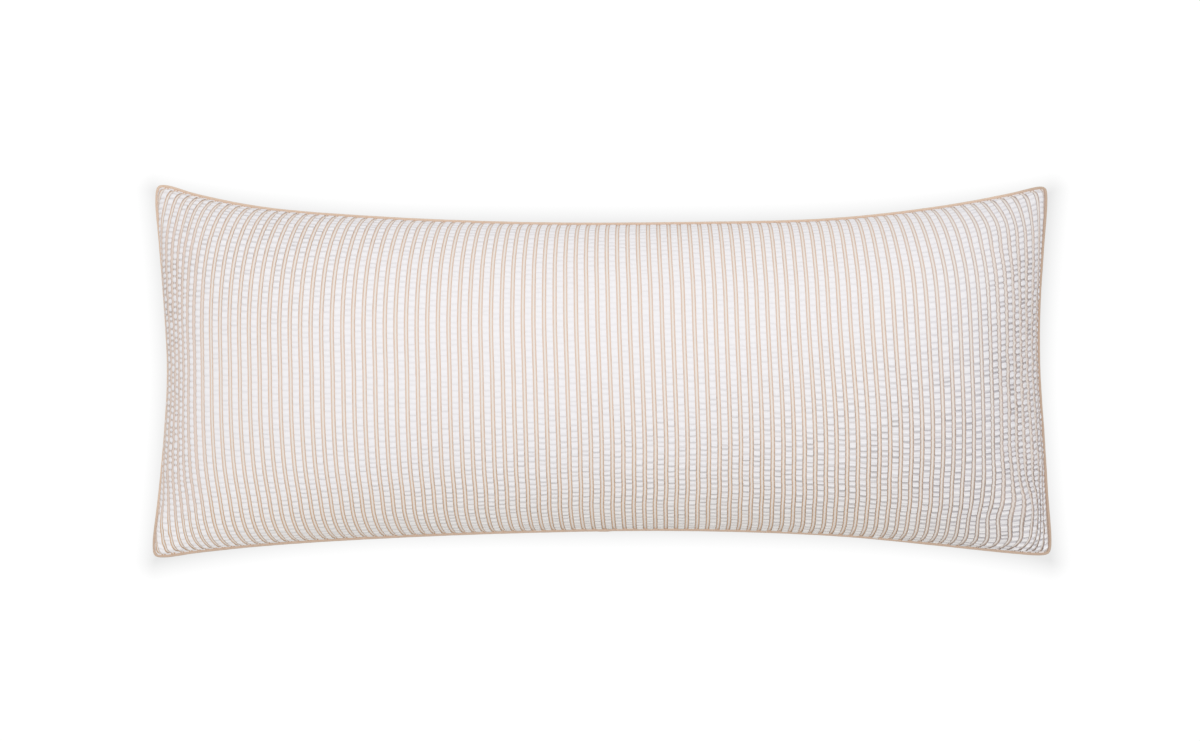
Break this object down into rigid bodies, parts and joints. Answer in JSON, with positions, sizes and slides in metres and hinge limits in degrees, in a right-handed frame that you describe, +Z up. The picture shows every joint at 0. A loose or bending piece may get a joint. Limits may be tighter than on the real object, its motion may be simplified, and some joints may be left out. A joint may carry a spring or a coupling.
{
  "type": "lumbar cushion cover",
  "caption": "Long filled lumbar cushion with a crowned middle, drawn-in sides, pointed corners and a thin piping sewn all round its seam.",
  "frame": {"origin": "on the surface that the cushion lies on, under the middle of its outline", "axes": "+X along the cushion, parallel to its long sides; +Y across it, towards the far side; +Z up, out of the front panel"},
  "size_m": [0.8748, 0.3633, 0.1491],
  "materials": {
    "seersucker": "white puckered seersucker with pairs of thin tan stripes across the cushion, matt",
    "piping": "plain tan cotton over a thin cord, matt"
  },
  "bodies": {
    "root": {"cushion": "seersucker", "piping": "piping"}
  },
  "joints": []
}
